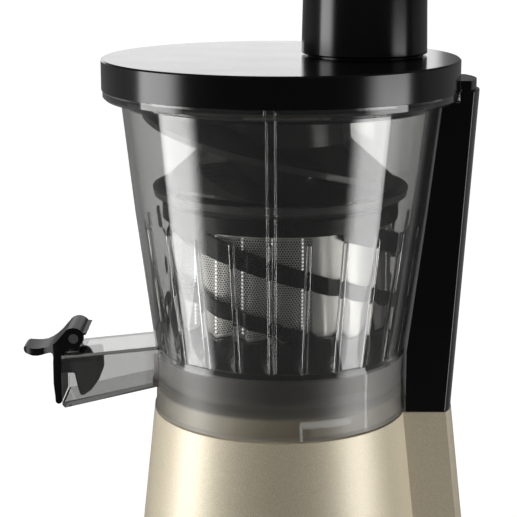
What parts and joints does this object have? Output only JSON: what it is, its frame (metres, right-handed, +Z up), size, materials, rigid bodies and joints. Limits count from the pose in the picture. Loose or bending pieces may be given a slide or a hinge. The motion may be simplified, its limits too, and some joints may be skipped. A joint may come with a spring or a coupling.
{
  "type": "cold press juicer",
  "caption": "Vertical cold press juicer with a smoky clear bowl, a slow screw in a rotating wiper cage, a champagne motor base and a black lid and column.",
  "frame": {"origin": "on the screw's axis, on the plane that the foot ring stands on", "axes": "+Z up along the screw's axis; +X towards the column; -X towards the juice spout; -Y towards the control knob"},
  "size_m": [0.2157, 0.1844, 0.4414],
  "materials": {
    "lid_black": "black satin gloss moulding",
    "bowl_smoke": "clear smoky tritan, frosted below the groove",
    "silicone_dark": "matt dark silicone",
    "strainer_black": "satin dark grey moulding",
    "mesh_steel": "perforated stainless sheet",
    "pin_steel": "turned stainless steel",
    "base_champagne": "champagne metallic lacquer",
    "gear_plastic": "glass-filled nylon",
    "gear_steel": "sintered steel",
    "cast_metal": "die cast",
    "lamination": "varnished laminations",
    "winding_copper": "enamelled copper wire",
    "board_green": "circuit board",
    "inner_plastic": "plain black moulding",
    "capacitor_white": "film capacitor case"
  },
  "bodies": {
    "base": {"body_shell": "base_champagne", "column_cover": "lid_black", "lid_sensor_board": "board_green", "sensor_lead": "inner_plastic", "shaft_seal": "silicone_dark", "deck_screws": "pin_steel", "gearbox_cup": "cast_metal", "gearbox_bearing": "pin_steel", "motor_plate": "cast_metal", "motor_bearing_upper": "pin_steel", "motor_stator": "lamination", "stator_windings": "winding_copper", "motor_bracket": "cast_metal", "motor_bearing_lower": "pin_steel", "motor_studs": "pin_steel", "control_board": "board_green", "run_capacitor": "capacitor_white", "base_plate": "inner_plastic", "base_screws": "pin_steel", "foot_ring": "silicone_dark", "cord_gland": "inner_plastic", "rotary_switch": "inner_plastic"},
    "bowl": {"juice_bowl": "bowl_smoke", "bowl_floor_seal": "silicone_dark", "pulp_duct_plug": "silicone_dark", "idler_pin": "pin_steel", "spout_hinge_pin": "pin_steel", "strainer_frame": "strainer_black", "strainer_mesh": "mesh_steel"},
    "lid": {"lid_cover": "lid_black", "feed_chute": "lid_black", "lid_seal": "silicone_dark", "screw_bush": "pin_steel", "lug_magnet": "pin_steel"},
    "pusher": {"food_pusher": "lid_black", "pusher_seal": "silicone_dark"},
    "spout_flap": {"spout_cap": "strainer_black", "spout_plug": "silicone_dark"},
    "screw": {"auger_screw": "strainer_black", "auger_top_pin": "pin_steel", "auger_drive_socket": "pin_steel", "auger_pinion": "gear_plastic"},
    "cage": {"wiper_cage": "strainer_black", "wiper_blades": "silicone_dark"},
    "idler": {"idler_gear": "gear_plastic"},
    "motor": {"motor_rotor": "lamination", "motor_shaft": "pin_steel", "cooling_fan": "inner_plastic"},
    "first_stage": {"input_carrier": "gear_steel"},
    "second_stage": {"output_carrier": "gear_steel"},
    "knob": {"control_knob": "lid_black", "knob_spindle": "pin_steel"},
    "planet_low_1_gear": {"planet_low_1": "gear_plastic"},
    "planet_low_2_gear": {"planet_low_2": "gear_plastic"},
    "planet_low_3_gear": {"planet_low_3": "gear_plastic"},
    "planet_high_1_gear": {"planet_high_1": "gear_plastic"},
    "planet_high_2_gear": {"planet_high_2": "gear_plastic"},
    "planet_high_3_gear": {"planet_high_3": "gear_plastic"}
  },
  "joints": [
    {"name": "bowl_lift", "type": "slide", "parent": "base", "child": "bowl", "axis": [0, 0, 1], "range_m": [0, 0.06]},
    {"name": "lid_lift", "type": "slide", "parent": "bowl", "child": "lid", "axis": [0, 0, 1], "range_m": [0, 0.07]},
    {"name": "pusher_lift", "type": "slide", "parent": "lid", "child": "pusher", "axis": [0, 0, 1], "range_m": [0, 0.09]},
    {"name": "spout_flap_hinge", "type": "hinge", "parent": "bowl", "child": "spout_flap", "pos_m": [-0.0921, 0, 0.2269], "axis": [0, 1, 0], "range_deg": [0, 90]},
    {"name": "screw_spin", "type": "hinge", "parent": "bowl", "child": "screw", "pos_m": [0, 0, 0], "axis": [0, 0, 1], "continuous": true},
    {"name": "cage_spin", "type": "hinge", "parent": "bowl", "child": "cage", "pos_m": [0, 0, 0], "axis": [0, 0, 1], "continuous": true},
    {"name": "idler_spin", "type": "hinge", "parent": "bowl", "child": "idler", "pos_m": [0, -0.02925, 0], "axis": [0, 0, 1], "continuous": true},
    {"name": "motor_spin", "type": "hinge", "parent": "base", "child": "motor", "pos_m": [0, 0, 0], "axis": [0, 0, 1], "continuous": true},
    {"name": "first_stage_spin", "type": "hinge", "parent": "base", "child": "first_stage", "pos_m": [0, 0, 0], "axis": [0, 0, 1], "continuous": true},
    {"name": "second_stage_spin", "type": "hinge", "parent": "base", "child": "second_stage", "pos_m": [0, 0, 0], "axis": [0, 0, 1], "continuous": true},
    {"name": "knob_turn", "type": "hinge", "parent": "base", "child": "knob", "pos_m": [0, -0.07014, 0.07], "axis": [0, -0.9943, 0.1069], "range_deg": [-45, 45]},
    {"name": "planet_low_1_spin", "type": "hinge", "parent": "first_stage", "child": "planet_low_1_gear", "pos_m": [0.015, 0, 0], "axis": [0, 0, 1], "continuous": true},
    {"name": "planet_low_2_spin", "type": "hinge", "parent": "first_stage", "child": "planet_low_2_gear", "pos_m": [-0.0075, 0.01299, 0], "axis": [0, 0, 1], "continuous": true},
    {"name": "planet_low_3_spin", "type": "hinge", "parent": "first_stage", "child": "planet_low_3_gear", "pos_m": [-0.0075, -0.01299, 0], "axis": [0, 0, 1], "continuous": true},
    {"name": "planet_high_1_spin", "type": "hinge", "parent": "second_stage", "child": "planet_high_1_gear", "pos_m": [0.015, 0, 0], "axis": [0, 0, 1], "continuous": true},
    {"name": "planet_high_2_spin", "type": "hinge", "parent": "second_stage", "child": "planet_high_2_gear", "pos_m": [-0.0075, 0.01299, 0], "axis": [0, 0, 1], "continuous": true},
    {"name": "planet_high_3_spin", "type": "hinge", "parent": "second_stage", "child": "planet_high_3_gear", "pos_m": [-0.0075, -0.01299, 0], "axis": [0, 0, 1], "continuous": true}
  ],
  "couplings": [
    {"joint": "first_stage_spin", "follows": "motor_spin", "ratio": 0.2},
    {"joint": "second_stage_spin", "follows": "motor_spin", "ratio": 0.04},
    {"joint": "screw_spin", "follows": "motor_spin", "ratio": 0.04},
    {"joint": "idler_spin", "follows": "motor_spin", "ratio": -0.034286},
    {"joint": "cage_spin", "follows": "motor_spin", "ratio": -0.012},
    {"joint": "planet_low_1_spin", "follows": "motor_spin", "ratio": -0.53333},
    {"joint": "planet_low_2_spin", "follows": "motor_spin", "ratio": -0.53333},
    {"joint": "planet_low_3_spin", "follows": "motor_spin", "ratio": -0.53333},
    {"joint": "planet_high_1_spin", "follows": "motor_spin", "ratio": -0.10667},
    {"joint": "planet_high_2_spin", "follows": "motor_spin", "ratio": -0.10667},
    {"joint": "planet_high_3_spin", "follows": "motor_spin", "ratio": -0.10667}
  ]
}
